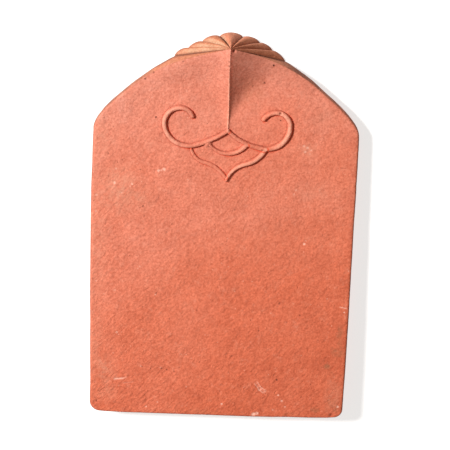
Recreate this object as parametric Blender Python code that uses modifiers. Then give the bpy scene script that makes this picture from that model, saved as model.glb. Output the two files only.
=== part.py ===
"""Scalloped roof tile: one pressed and fired clay piece, lying on its back.

The tile is a flat slab with a gabled end. Toward that end the face rises into a ridge that closes in a scallop
shell on the steep end face; raised half-round beads draw two scrolls, a crescent and a bracket below the ridge.
The hidden back is plain: two hanging nibs near the head and a hollow under the raised nose that keeps the clay
about as thick as in the slab.

Slab frame, millimetres: x across, y from the head edge to the shell, z up from the underside of the slab.
"""

import math

import bmesh
import bpy
from mathutils import Matrix, Vector

MM = 0.001

# Slab
WIDTH = 270.0
SLAB = 14.0
HEAD_CORNER = 9.0
SHOULDER = 12.0
GABLE_R = 270.0
GABLE_X, GABLE_Y = -79.0, 148.2  # centre of the right-hand gable arc
ARRIS = 3.0
UNDER_ARRIS = 1.5

# Nose: the ridge that rises to the gable end
NOSE_RISE = 30.0
NOSE_HALF = 95.0
NOSE_LENGTH = 88.0
NOSE_FLANK = 25.0  # length of the rise far from the crest
FLANK_SPREAD = 20.0
END_DRAFT = 6.0
CREST_FOOT_X, CREST_END_X = 1.4, 3.0
CREST_FOOT_Y, CREST_END_Y = 312.0, 400.4

# Scallop shell on the end face
GROOVES = [(12.0, 405.4), (29.8, 400.0), (42.9, 392.5), (55.8, 381.8)]
LOBE_BULGE = [4.4, 3.0, 2.2, 2.2]
LOBE_SWELL = [2.2, 1.7, 1.2, 0.8]
LOBE_STEPS = 7
SHELL_X = 1.8
END_BASE_Y = 398.0  # middle of the plain end face behind the shell, at the underside
RIM_EASE = 1.0

# Raised beads: start x, start y, heading in degrees, then arcs of (radius, turn in degrees; left is plus)
BEAD_R = 2.9
BEADS = {
    "scroll_left": ((2.0, 311.4, 215.6), [(108.3, -19.9), (24.9, -90.5), (16.6, -98.3), (13.3, -74.1)], 2.9),
    "scroll_right": ((1.8, 311.2, -43.1), [(67.1, 34.5), (23.6, 103.5), (13.7, 87.1), (16.3, 57.4)], 2.9),
    "bracket_left": ((-35.1, 290.0, -70.0), [(19.2, 56.9), (35.5, -50.5)], 2.5),
    "bracket_right": ((40.5, 293.2, -114.0), [(28.5, -52.0), (27.6, 53.4)], 2.8),
    "crescent": ((-14.7, 294.9, -47.2), [(23.2, 100.5)], 2.6),
}
BEAD_STEP = 2.4
BEAD_LIFT = 0.15

# Back
WALL = 14.0
HOLLOW_EASE = 1.5
HOLLOW_HALF = 50.0
HOLLOW_START_HALF = 12.0
HOLLOW_START_Y, HOLLOW_END_Y = 334.0, 384.0
HOLLOW_SIDE = 40.0
NIB_X = 62.0
NIB_WIDTH = 34.0
NIB_TOP_Y, NIB_LOW_Y = 16.0, 30.0
NIB_HEIGHT = 11.0
NIB_EASE = 2.0

# Lying on its nibs and on the tip of the shell
REST_Y = GROOVES[0][1] + LOBE_BULGE[0] - RIM_EASE
LEAN = math.atan2(NIB_HEIGHT, REST_Y - (NIB_TOP_Y + NIB_LOW_Y) / 2)


def gable_y(x):
    """The gable edge in plan, carried on as one arc a side up to the middle."""
    return GABLE_Y + math.sqrt(GABLE_R**2 - (abs(x) - GABLE_X) ** 2)


def shoulder_centre():
    x = WIDTH / 2 - SHOULDER
    return x, GABLE_Y + math.sqrt((GABLE_R - SHOULDER) ** 2 - (x - GABLE_X) ** 2)


def tail_y(x):
    """Edge of the slab at the tail, with the shoulder fillet."""
    cx, cy = shoulder_centre()
    tangent = GABLE_X + GABLE_R * (cx - GABLE_X) / (GABLE_R - SHOULDER)
    if abs(x) > tangent:
        return cy + math.sqrt(max(0.0, SHOULDER**2 - (abs(x) - cx) ** 2))
    return gable_y(x)


def head_y(x):
    over = abs(x) - (WIDTH / 2 - HEAD_CORNER)
    return HEAD_CORNER - math.sqrt(max(0.0, HEAD_CORNER**2 - over**2)) if over > 0 else 0.0


def reach(u):
    """1 at the crest, 0 where the nose has died into the slab."""
    return max(0.0, 1.0 - abs(u) / NOSE_HALF)


def end_rise(u):
    return NOSE_RISE * reach(u) ** 2


def arris_y(u):
    return tail_y(u) - END_DRAFT * reach(u)


def rise_length(u):
    return NOSE_FLANK + (NOSE_LENGTH - NOSE_FLANK) * math.exp(-((abs(u) / FLANK_SPREAD) ** 1.2))


def rise(u, back):
    """Height of the nose above the face, a distance back from the end arris."""
    s = min(1.0, max(0.0, back / rise_length(u)))
    return end_rise(u) * (1 - s) ** 2 * (1 + 1.2 * s)


def crest_x(y):
    return CREST_FOOT_X + (CREST_END_X - CREST_FOOT_X) * (y - CREST_FOOT_Y) / (CREST_END_Y - CREST_FOOT_Y)


def lean_x(u, y):
    """The crest leans a little across the tile; the lean fades out down the flanks."""
    if y < CREST_FOOT_Y:
        return u
    return u + crest_x(y) * max(0.0, 1.0 - abs(u) / 55.0)


def face_z(u):
    """Top of the slab, rounded over along its long sides."""
    over = abs(u) - (WIDTH / 2 - ARRIS)
    return SLAB if over <= 0 else SLAB - ARRIS + math.sqrt(max(0.0, ARRIS**2 - over**2))


def under_z(u):
    over = abs(u) - (WIDTH / 2 - UNDER_ARRIS)
    return 0.0 if over <= 0 else UNDER_ARRIS - math.sqrt(max(0.0, UNDER_ARRIS**2 - over**2))


def end_base_y(u):
    """Foot of the plain end face: the gable edge, and behind the shell a straight run to the middle."""
    outer_x, outer_y = GROOVES[-1]
    if abs(u) >= outer_x:
        return tail_y(u)
    return END_BASE_Y + (outer_y - END_BASE_Y) * abs(u) / outer_x


def slab_section(u):
    """One closed profile across the tile at u, in the order head, face, tail, underside."""
    y0, top, under = head_y(u), face_z(u), under_z(u)
    points = [(y0 + UNDER_ARRIS, under), (y0, under + UNDER_ARRIS)]
    for step in range(4):
        a = math.radians(30 * step)
        points.append((y0 + ARRIS * (1 - math.cos(a)), top - ARRIS + ARRIS * math.sin(a)))
    ya, ease = arris_y(u), 1.2 + 1.8 * (1 - reach(u))
    length = rise_length(u)
    for s in (1.0, 0.88, 0.76, 0.64, 0.52, 0.4, 0.29, 0.19, 0.1):
        back = max(length * s, ease * 1.2)
        points.append((ya - back, top + rise(u, back)))
    base = end_base_y(u)
    high = top + rise(u, 0.0)
    fall = high - ease
    for back, down in ((ease, 0.0), (0.3 * ease, 0.25 * ease), (0.0, ease)):
        run = (base - ya) * down / high
        points.append((ya - back + run, top + rise(u, back) - down))
    low = under + UNDER_ARRIS
    points.append((ya + (base - ya) * (high - low) / high, low))
    points.append((base - UNDER_ARRIS, under))
    return [Vector((lean_x(u, y) if z > SLAB else u, y, z)) for y, z in points]


def loft(name, sections, collection):
    """Skin over closed profiles of the same count, capped at both ends."""
    bm = bmesh.new()
    rings = [[bm.verts.new(p * MM) for p in section] for section in sections]
    count = len(rings[0])
    for a, b in zip(rings, rings[1:]):
        for i in range(count):
            j = (i + 1) % count
            bm.faces.new((a[i], a[j], b[j], b[i]))
    bm.faces.new(rings[0][::-1])
    bm.faces.new(rings[-1])
    return solid_from(bm, name, collection)


def solid_from(bm, name, collection):
    bmesh.ops.remove_doubles(bm, verts=bm.verts[:], dist=1e-6)
    bmesh.ops.dissolve_degenerate(bm, edges=bm.edges[:], dist=1e-7)
    bmesh.ops.recalc_face_normals(bm, faces=bm.faces[:])
    mesh = bpy.data.meshes.new(name)
    bm.to_mesh(mesh)
    bm.free()
    thing = bpy.data.objects.new(name, mesh)
    collection.objects.link(thing)
    return thing


def rim_points():
    """The scalloped rim in plan from left to right: convex lobes meeting in grooves. Gives point, swell and lobe position."""
    nodes = [(SHELL_X - x, y) for x, y in reversed(GROOVES)] + [(SHELL_X + x, y) for x, y in GROOVES]
    sizes = LOBE_BULGE[:0:-1] + LOBE_BULGE
    swells = LOBE_SWELL[:0:-1] + LOBE_SWELL
    points = []
    for k in range(len(nodes) - 1):
        (ax, ay), (bx, by) = nodes[k], nodes[k + 1]
        chord = math.hypot(bx - ax, by - ay)
        nx, ny = -(by - ay) / chord, (bx - ax) / chord
        for i in range(LOBE_STEPS + (k == len(nodes) - 2)):
            t = i / LOBE_STEPS
            round_ = math.sqrt(max(0.0, 1 - (2 * t - 1) ** 2)) ** 0.9
            out = sizes[k] * round_
            points.append((ax + (bx - ax) * t + nx * out, ay + (by - ay) * t + ny * out, swells[k] * round_, nx, ny))
    return points


def shell_sections():
    """Rings from the umbo down to the rim; each is the scalloped rim drawn in toward the umbo."""
    apex = Vector((CREST_END_X, CREST_END_Y - 1.6, SLAB + NOSE_RISE - 1.6))
    rings = []
    for rho, ease in ((0.05, 0), (0.2, 0), (0.38, 0), (0.56, 0), (0.74, 0), (0.88, 0), (0.965, 0), (1.0, RIM_EASE)):
        ring = []
        for x, y, swell, nx, ny in rim_points():
            p = apex.lerp(Vector((x, y, 0.0)), rho)
            out = swell * 4 * rho * (1 - rho) - ease
            ring.append(p + Vector((nx * out, ny * out, 0.0)))
        for x in (50.0, -50.0):
            ring.append(apex.lerp(Vector((x, 376.0, 0.0)), rho))
        rings.append(ring)
    return rings


def arc_chain(start, arcs, step):
    """Points along arcs joined end to end without a corner."""
    x, y, a = start[0], start[1], math.radians(start[2])
    points = [(x, y)]
    for radius, turn in arcs:
        turn = math.radians(turn)
        side = 1.0 if turn > 0 else -1.0
        cx, cy = x - side * radius * math.sin(a), y + side * radius * math.cos(a)
        count = max(3, round(abs(turn) * radius / step))
        for i in range(1, count + 1):
            b = a + turn * i / count
            points.append((cx + side * radius * math.sin(b), cy - side * radius * math.cos(b)))
        (x, y), a = points[-1], a + turn
    return points


def bead(name, start, arcs, radius, collection):
    """A half-sunk round bead with rounded ends, swept along its arcs."""
    line = arc_chain(start, arcs, BEAD_STEP)
    curve = bpy.data.curves.new(name, "CURVE")
    curve.dimensions = "3D"
    curve.bevel_depth = radius * MM
    curve.bevel_resolution = 2
    curve.use_fill_caps = True
    spline = curve.splines.new("POLY")
    lengths = [0.0]
    for (ax, ay), (bx, by) in zip(line, line[1:]):
        lengths.append(lengths[-1] + math.hypot(bx - ax, by - ay))
    spline.points.add(len(line) - 1)
    for point, (x, y), at in zip(spline.points, line, lengths):
        point.co = (x * MM, y * MM, (SLAB + BEAD_LIFT) * MM, 1.0)
        end = min(at, lengths[-1] - at)
        point.radius = 0.45 + 0.55 * math.sqrt(max(0.0, 1 - (1 - min(1.0, end / radius)) ** 2))
    swept = bpy.data.objects.new(name, curve)
    collection.objects.link(swept)
    mesh = bpy.data.meshes.new_from_object(swept.evaluated_get(bpy.context.evaluated_depsgraph_get()))
    bm = bmesh.new()
    bm.from_mesh(mesh)
    bmesh.ops.remove_doubles(bm, verts=bm.verts[:], dist=1e-6)
    bmesh.ops.recalc_face_normals(bm, faces=bm.faces[:])
    bm.to_mesh(mesh)
    bm.free()
    thing = bpy.data.objects.new(name + "_solid", mesh)
    thing.matrix_world = swept.matrix_world
    collection.objects.link(thing)
    bpy.data.objects.remove(swept)
    return thing


def hollow_depth(y):
    """Depth of the hollow on the middle line: the crest's own rise, less the easing."""
    return rise(0.0, arris_y(0.0) - y) - HOLLOW_EASE


def hollow_sections():
    """The hollow under the nose: a plain tent that widens toward the end wall and leaves about a slab's thickness of clay."""
    sections = []
    spread = (HOLLOW_HALF - HOLLOW_START_HALF) / (HOLLOW_END_Y - HOLLOW_START_Y)
    for k in range(-12, 13):
        u = HOLLOW_SIDE * k / 12
        start = HOLLOW_START_Y + max(0.0, abs(u) - HOLLOW_START_HALF) / spread
        end = end_base_y(u) - WALL + 1.0
        points = [(start, -4.0), (start, 0.0)]
        for i in range(1, 12):
            y = start + (end - start) * i / 11
            half = HOLLOW_START_HALF + (y - HOLLOW_START_Y) * spread
            corner = min(1.0, (end - y) / 3.0)
            z = hollow_depth(y) * (1 - abs(u) / half) - 2.0 * (1 - corner) ** 2
            points.append((y, max(z, 0.25)))
        points.append((end, -4.0))
        sections.append([Vector((u + CREST_FOOT_X * (z > 0), y, z)) for y, z in points])
    return sections


def nib(name, side, collection):
    """A hanging nib: a block with eased edges whose foot is level when the tile lies on it."""
    bm = bmesh.new()
    bmesh.ops.create_cube(bm, size=1.0)
    for v in bm.verts:
        y = NIB_TOP_Y if v.co.y < 0 else NIB_LOW_Y
        foot = -(REST_Y - y) * math.tan(LEAN)
        z = 4.0 if v.co.z > 0 else foot
        half = NIB_WIDTH / 2 - (1.5 if v.co.z < 0 else 0.0)
        v.co = Vector((side * NIB_X + math.copysign(half, v.co.x), y, z)) * MM
    thing = solid_from(bm, name, collection)
    ease = thing.modifiers.new("ease", "BEVEL")
    ease.width = NIB_EASE * MM
    ease.segments = 3
    ease.limit_method = "ANGLE"
    ease.angle_limit = math.radians(30)
    return thing


def combine(target, tool, operation):
    step = target.modifiers.new(f"{operation.lower()}_{tool.name}", "BOOLEAN")
    step.operation = operation
    step.solver = "EXACT"
    step.object = tool


def main():
    for thing in list(bpy.data.objects):
        bpy.data.objects.remove(thing)

    tile_set = bpy.data.collections.new("scalloped_roof_tile")
    tools = bpy.data.collections.new("shaping_tools")
    for collection in (tile_set, tools):
        bpy.context.scene.collection.children.link(collection)

    half = [0.0, 1.4, 4.0, 7.5, 11.5, 16.0, 21.0, 27.0, 34.0, 42.0, 49.0, GROOVES[-1][0], 64.0, 73.0, 83.0, 95.0,
            108.0, 120.0, 126.5, 129.5, 132.0, 133.2, 134.2, 134.8, WIDTH / 2]
    stations = [-u for u in reversed(half[1:])] + half
    tile = loft("roof_tile", [slab_section(u) for u in stations], tile_set)

    shell = loft("shell", shell_sections(), tools)
    hollow = loft("nose_hollow", hollow_sections(), tools)
    nibs = [nib("nib_left", -1, tools), nib("nib_right", 1, tools)]
    beads = [bead(name, start, arcs, radius, tools) for name, (start, arcs, radius) in BEADS.items()]

    combine(tile, shell, "UNION")
    for thing in nibs + beads:
        combine(tile, thing, "UNION")
    combine(tile, hollow, "DIFFERENCE")
    for thing in [shell, hollow] + nibs + beads:
        thing.hide_render = True
        thing.display_type = "WIRE"

    # Turn the finished slab-frame shape onto its nibs and shell tip and centre it over the ground.
    mesh = bpy.data.meshes.new_from_object(tile.evaluated_get(bpy.context.evaluated_depsgraph_get()))
    tile.modifiers.clear()
    lay = Matrix.Rotation(-LEAN, 4, "X")
    mesh.transform(lay)
    low = min(v.co.z for v in mesh.vertices)
    ends = [v.co.y for v in mesh.vertices]
    mesh.transform(Matrix.Translation((0.0, -(min(ends) + max(ends)) / 2, -low)))
    tile.data = mesh

    clay = bpy.data.materials.new("fired_terracotta")
    clay.use_nodes = True
    shader = clay.node_tree.nodes["Principled BSDF"]
    shader.inputs["Base Color"].default_value = (0.66, 0.26, 0.15, 1.0)
    shader.inputs["Roughness"].default_value = 0.88
    mesh.materials.clear()
    mesh.materials.append(clay)
    for face in mesh.polygons:
        face.use_smooth = True
        face.material_index = 0
    mesh.set_sharp_from_angle(angle=math.radians(32))


main()
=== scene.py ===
"""Looks of the scalloped roof tile: one fired-clay piece, lying face up on a pale floor.

All shapes are worked out in the slab frame in millimetres (x across, y from the head edge to the shell, z up from
the underside of the slab) and then laid into the row frame with the tile's own lean.
"""

import math

import bpy
import numpy as np
from mathutils import Matrix, Vector, noise
from mathutils.geometry import delaunay_2d_cdt


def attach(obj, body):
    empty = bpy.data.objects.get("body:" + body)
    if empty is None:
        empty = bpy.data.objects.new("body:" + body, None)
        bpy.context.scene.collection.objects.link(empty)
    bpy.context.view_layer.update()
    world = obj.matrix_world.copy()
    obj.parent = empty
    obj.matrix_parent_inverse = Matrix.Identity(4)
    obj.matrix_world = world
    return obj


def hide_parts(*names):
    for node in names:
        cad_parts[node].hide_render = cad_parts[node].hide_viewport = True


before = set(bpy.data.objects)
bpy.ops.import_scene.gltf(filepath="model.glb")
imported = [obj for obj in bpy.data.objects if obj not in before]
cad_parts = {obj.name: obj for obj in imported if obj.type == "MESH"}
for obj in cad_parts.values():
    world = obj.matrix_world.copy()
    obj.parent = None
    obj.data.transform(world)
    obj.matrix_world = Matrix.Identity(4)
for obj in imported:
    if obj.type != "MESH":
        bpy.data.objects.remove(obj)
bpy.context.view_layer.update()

# ---------------------------------------------------------------- sizes shared with the solid
WIDTH, SLAB = 270.0, 14.0
HEAD_CORNER, SHOULDER = 9.0, 12.0
GABLE_R, GABLE_X, GABLE_Y = 270.0, -79.0, 148.2
ARRIS, UNDER_ARRIS = 3.0, 1.5
NOSE_RISE, NOSE_HALF, NOSE_LENGTH, NOSE_FLANK, FLANK_SPREAD = 30.0, 95.0, 88.0, 25.0, 20.0
END_DRAFT = 6.0
CREST_FOOT_X, CREST_END_X = 1.4, 3.0
CREST_FOOT_Y, CREST_END_Y = 312.0, 400.4
GROOVES = [(12.0, 405.4), (29.8, 400.0), (42.9, 392.5), (55.8, 381.8)]
LOBE_BULGE = [3.1, 2.3, 3.0, 4.4, 3.0, 2.2, 2.2]
LOBE_SWELL = [2.6, 3.2, 3.6, 3.9, 3.6, 3.1, 2.5]
SHELL_X = 1.8
RIM_EASE = 1.0
BEADS = {
    # start and heading, arcs of (radius, turn), then half-width at the start, middle and end, and height
    "scroll_left": ((2.0, 311.4, 215.6), [(108.3, -19.9), (24.9, -90.5), (16.6, -98.3), (13.3, -74.1)], (2.15, 2.55, 2.4), 3.4),
    "scroll_right": ((1.8, 311.2, -43.1), [(67.1, 34.5), (23.6, 103.5), (13.7, 87.1), (16.3, 53.0)], (2.1, 2.85, 2.4), 3.4),
    "bracket_left": ((-35.2, 291.0, -75.0), [(19.2, 62.0), (35.5, -43.5)], (1.7, 2.1, 1.9), 1.7),
    "bracket_right": ((40.5, 293.2, -114.0), [(28.5, -52.0), (28.0, 56.0)], (2.6, 2.45, 1.6), 3.2),
    "crescent": ((-15.9, 296.1, -51.2), [(23.2, 104.2)], (1.5, 2.2, 2.6), 2.8),
}
WALL, HOLLOW_EASE, HOLLOW_HALF, HOLLOW_START_HALF = 14.0, 1.5, 50.0, 12.0
HOLLOW_START_Y, HOLLOW_END_Y, HOLLOW_SIDE = 334.0, 384.0, 40.0
END_BASE_Y = 398.0
NIB_X, NIB_WIDTH, NIB_TOP_Y, NIB_LOW_Y, NIB_HEIGHT = 62.0, 34.0, 16.0, 30.0, 11.0
REST_Y = 408.8
LEAN = math.atan2(NIB_HEIGHT, REST_Y - (NIB_TOP_Y + NIB_LOW_Y) / 2)
MID_Y = 204.7944

MM = 0.001
LAY = Matrix.Translation((0, -MID_Y * MM, REST_Y * math.sin(LEAN) * MM)) @ Matrix.Rotation(-LEAN, 4, "X") @ Matrix.Scale(MM, 4)

# ---------------------------------------------------------------- plan and heights


def gable_y(x):
    return GABLE_Y + np.sqrt(np.maximum(GABLE_R**2 - (np.abs(x) - GABLE_X) ** 2, 0.0))


SHOULDER_X = WIDTH / 2 - SHOULDER
SHOULDER_Y = GABLE_Y + math.sqrt((GABLE_R - SHOULDER) ** 2 - (SHOULDER_X - GABLE_X) ** 2)
TANGENT_X = GABLE_X + GABLE_R * (SHOULDER_X - GABLE_X) / (GABLE_R - SHOULDER)


def tail_y(x):
    x = np.abs(np.asarray(x, float))
    fillet = SHOULDER_Y + np.sqrt(np.maximum(SHOULDER**2 - (x - SHOULDER_X) ** 2, 0.0))
    return np.where(x > TANGENT_X, fillet, gable_y(x))


def reach(u):
    return np.maximum(0.0, 1.0 - np.abs(u) / NOSE_HALF)


def arris_y(u):
    left = np.clip(-np.asarray(u, float) / 88.0, 0, 1)
    return tail_y(u) - END_DRAFT * reach(u) - 1.5 * np.sin(math.pi * left**0.8) ** 2


def rise_length(u):
    return NOSE_FLANK + (NOSE_LENGTH - NOSE_FLANK) * np.exp(-((np.abs(u) / FLANK_SPREAD) ** 1.2))


def rise(u, back):
    s = np.clip(back / rise_length(u), 0.0, 1.0)
    return NOSE_RISE * reach(u) ** 2 * (1 - s) ** 2 * (1 + 1.2 * s)


BOW_Y = (290.0, 306.0, 316.0, 325.0, 334.0, 347.0, 356.0, 365.0, 374.0, 385.0, 391.6, 396.0, 400.4, 412.0)
BOW_X = (0.0, 0.0, 0.3, 0.4, 0.1, -0.2, -0.5, -0.85, -1.1, -1.2, -1.25, -1.25, -1.3, -1.3)


def crest_x(y):
    y = np.maximum(y, 290.0)
    return CREST_FOOT_X + (CREST_END_X - CREST_FOOT_X) * (y - CREST_FOOT_Y) / (CREST_END_Y - CREST_FOOT_Y) + np.interp(y, BOW_Y, BOW_X)


def u_of(x, y):
    """Distance from the crest, measured so that the crest's lean fades out at 55 mm."""
    c = crest_x(y)
    u = np.where(x >= c, (x - c) / (1 - c / 55.0), (x - c) / (1 + c / 55.0))
    return np.where(np.abs(x) >= 55.0, x, np.clip(u, -55.0, 55.0))


def x_of(u, y):
    return float(u + crest_x(y) * max(0.0, 1.0 - abs(u) / 55.0))


GABLE_SWELL = (
    (-135, -132, -130, -123, -114, -105, -95, -74, -63, -55, -40, -20, 30, 40, 52, 62, 84, 94, 103, 113, 122, 130, 133, 135),
    (0.4, 0.9, 1.5, 2.3, 2.0, 1.5, 1.3, 1.3, 1.1, 1.3, 0.9, 0.0, 0.0, 0.2, 0.8, 1.1, 1.2, 0.7, 0.9, 1.7, 2.1, 1.9, 1.2, 0.5),
)
LEFT_SWELL = ((9, 31, 52, 70, 100, 117, 130, 150, 200, 245, 257, 268, 281, 295, 309), (1.3, 1.2, 1.5, 1.7, 1.7, 2.0, 2.3, 2.3, 2.3, 2.2, 1.8, 1.4, 1.1, 0.8, 0.4))
RIGHT_SWELL = ((9, 31, 52, 100, 150, 200, 250, 296, 311), (0.3, 0.5, 0.8, 1.0, 0.9, 0.8, 0.9, 0.9, 0.5))
HEAD_SWELL = ((-126, -120, -103, -60, 0, 40, 60, 70, 100, 119, 126), (3.0, 3.4, 3.8, 3.7, 3.4, 3.4, 3.1, 2.7, 2.3, 1.7, 1.0))


def swell_of(x, y):
    """How far the real outline stands outside the drawn one at a point on it."""
    if y > SHOULDER_Y - 0.5:
        return float(np.interp(x, *GABLE_SWELL))
    if y > HEAD_CORNER:
        return float(np.interp(y, *(LEFT_SWELL if x < 0 else RIGHT_SWELL)))
    if abs(x) > WIDTH / 2 - HEAD_CORNER:
        side, head = (1.3, 3.0) if x < 0 else (0.3, 1.0)
        turn = math.atan2(HEAD_CORNER - y, abs(x) - (WIDTH / 2 - HEAD_CORNER)) / (math.pi / 2)
        return side + (head - side) * turn
    return float(np.interp(x, *HEAD_SWELL))


def arc_chain(start, arcs, step):
    x, y, a = start[0], start[1], math.radians(start[2])
    points = [(x, y)]
    for radius, turn in arcs:
        turn = math.radians(turn)
        side = 1.0 if turn > 0 else -1.0
        cx, cy = x - side * radius * math.sin(a), y + side * radius * math.cos(a)
        count = max(3, round(abs(turn) * radius / step))
        for i in range(1, count + 1):
            b = a + turn * i / count
            points.append((cx + side * radius * math.sin(b), cy - side * radius * math.cos(b)))
        (x, y), a = points[-1], a + turn
    return np.array(points)


def fbm(x, y, z, scale, octaves=2, seed=0.0):
    """Smooth seeded noise at points in millimetres, about -1 to 1."""
    out = np.empty(len(x))
    for i, (a, b, c) in enumerate(zip(x, y, z)):
        v, amp, k, norm = 0.0, 1.0, 1.0 / scale, 0.0
        for _ in range(octaves):
            v += amp * noise.noise((a * k + seed, b * k - seed, c * k + 0.5 * seed))
            norm += amp
            amp *= 0.5
            k *= 2.1
        out[i] = v / norm
    return out


BEAD_LINES = {}
for _name, (_start, _arcs, _widths, _height) in BEADS.items():
    _line = arc_chain(_start, _arcs, 0.9)
    _t = np.concatenate([[0.0], np.cumsum(np.hypot(*np.diff(_line, axis=0).T))])
    _half = np.interp(_t / _t[-1], (0.0, 0.5, 1.0), _widths)
    _half *= 1 + 0.07 * fbm(_line[:, 0], _line[:, 1], _t, 9.0, 2, 3.0)
    BEAD_LINES[_name] = (_line, _half, _height * (1 + 0.10 * fbm(_line[:, 0], _line[:, 1], _t, 13.0, 2, 8.0)), _t)


def bead_height(x, y):
    """Height of the raised beads above the face, with a shallow line pressed in along their sides."""
    best, groove = np.zeros(len(x)), np.zeros(len(x))
    for name, (line, half, high, t) in BEAD_LINES.items():
        near = (x > line[:, 0].min() - 5) & (x < line[:, 0].max() + 5) & (y > line[:, 1].min() - 5) & (y < line[:, 1].max() + 5)
        index = np.nonzero(near)[0]
        if not len(index):
            continue
        px, py = x[index], y[index]
        a, b = line[:-1], line[1:]
        ab = b - a
        k = ((px[:, None] - a[:, 0]) * ab[:, 0] + (py[:, None] - a[:, 1]) * ab[:, 1]) / (ab**2).sum(1)
        k = np.clip(k, 0, 1)
        d = np.hypot(px[:, None] - a[:, 0] - k * ab[:, 0], py[:, None] - a[:, 1] - k * ab[:, 1])
        j = d.argmin(1)
        row = np.arange(len(index))
        kk, dd = k[row, j], d[row, j]
        w = half[j] + (half[j + 1] - half[j]) * kk
        h = high[j] + (high[j + 1] - high[j]) * kk
        q = dd / w
        top = h * np.sqrt(np.maximum(0.0, 1 - np.minimum(q, 1.0) ** 2.5))
        tooled = 0.34 * np.clip(1 - np.abs(q - 1.06) / 0.2, 0, 1)
        best[index] = np.maximum(best[index], top)
        groove[index] = np.maximum(groove[index], tooled)
    # a smear of clay fills the angle where the crescent leaves the left scroll
    smear = 3.0 * np.clip(1 - ((x + 18.4) / 4.6) ** 2 - ((y - 297.2) / 3.6) ** 2, 0, 1) ** 0.7
    best = np.maximum(best, smear)
    return np.where(best > 0.3, best, best - groove)


def bead_masks(x, y):
    """Where the rubbed, paler backs of the beads are, the painted shadow lines along their sides away from the light,
    and a darker band at their feet on the side towards the light.
    """
    worn, line_, foot = np.zeros(len(x)), np.zeros(len(x)), np.zeros(len(x))
    for name, (line, half, high, t) in BEAD_LINES.items():
        near = (x > line[:, 0].min() - 5) & (x < line[:, 0].max() + 5) & (y > line[:, 1].min() - 5) & (y < line[:, 1].max() + 5)
        index = np.nonzero(near)[0]
        if not len(index):
            continue
        d = np.hypot(x[index][:, None] - line[:, 0], y[index][:, None] - line[:, 1])
        j = d.argmin(1)
        q = d[np.arange(len(index)), j] / half[j]
        px, py = line[j, 0], line[j, 1]
        lee = ((x[index] - px) * 0.85 - (y[index] - py) * 0.53) / np.maximum(q * half[j], 0.2)
        lee = np.clip((lee + 0.05) / 0.55, 0, 1)
        if name == "scroll_left":
            rub = 0.08 + 0.6 * np.clip((-38.0 - px) / 18.0, 0, 1)
        elif name == "scroll_right":
            rub = 0.05 + 0.8 * np.clip((px - 42.0) / 16.0, 0, 1)
        elif name == "bracket_right":
            rub = np.full(len(j), 0.8)
        elif name == "crescent":
            rub = 0.02 + 0.5 * np.clip((px + 2.0) / 20.0, 0, 1)
        else:
            rub = np.full(len(j), 0.03)
        side = 0.10 if name == "bracket_left" else 0.0
        worn[index] = np.maximum(worn[index], rub * np.clip((0.95 - q) / 0.5, 0, 1))
        foot[index] = np.maximum(foot[index], 0.26 * (1 - lee) * np.clip(1.5 - np.abs(q - 1.06) / 0.2, 0, 1))
        # painted shadow: the dark line is widest and strongest on the lee side, away from the light
        line_[index] = np.maximum(line_[index], (side + (1 - side) * lee) * np.clip(1.6 - np.abs(q - 1.04 - 0.16 * lee) / (0.15 + 0.14 * lee), 0, 1))
    line_ *= 1 - np.clip(1.5 - 1.5 * (((x + 18.4) / 5.2) ** 2 + ((y - 296.4) / 4.6) ** 2), 0, 1)
    return worn, line_, foot


# small marks: x, y, radius, depth (minus is a raised speck), then how dark, how pale
PITS = [
    (-75.1, 368.6, 1.3, 0.7, 0.75, 0), (-83.1, 362.0, 1.4, 0.8, 0.9, 0), (-45.2, 382.4, 1.2, 0.5, 0.5, 0), (0.9, 386.5, 1.0, 0.6, 0.6, 0),
    (-71.4, 322.8, 1.1, 0.9, 1.0, 0), (45.6, 381.4, 1.5, 1.0, 0.9, 0), (37.4, 362.2, 1.5, 0.8, 0.6, 0), (25.9, 358.4, 1.1, 0.5, 0.35, 0),
    (55.0, 323.7, 1.0, 0.8, 0.8, 0), (-67.1, 133.6, 1.4, 0.7, 0.45, 0), (63.4, 40.8, 1.3, 0.8, 0.8, 0), (84.4, 114.8, 1.3, 0.7, 0.5, 0),
    (62.6, 127.3, 1.6, 0.8, 0.55, 0), (41.8, 95.9, 1.2, 0.6, 0.45, 0), (-80.6, 50.5, 1.2, 0.7, 0.55, 0), (-59.6, 49.2, 1.5, 0.8, 0.55, 0), (-54.2, 47.6, 1.3, 0.7, 0.5, 0), (-46.4, 46.2, 1.2, 0.6, 0.5, 0), (14.6, 66.0, 1.8, 0.5, 0.3, 0), (60.0, 46.0, 1.5, 0.5, 0.3, 0),
    (-83.0, 228.0, 1.4, 0.7, 0.5, 0), (-58.0, 201.0, 1.0, 0.5, 0.4, 0), (12.0, 228.0, 1.1, 0.4, 0.3, 0), (104.0, 204.0, 1.2, 0.5, 0.35, 0),
    (-119.0, 283.0, 1.2, 0.5, 0.35, 0), (-34.0, 262.0, 1.1, 0.4, 0.3, 0), (30.0, 152.0, 1.3, 0.5, 0.35, 0), (-24.0, 116.0, 1.5, 0.5, 0.35, 0),
]
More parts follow.
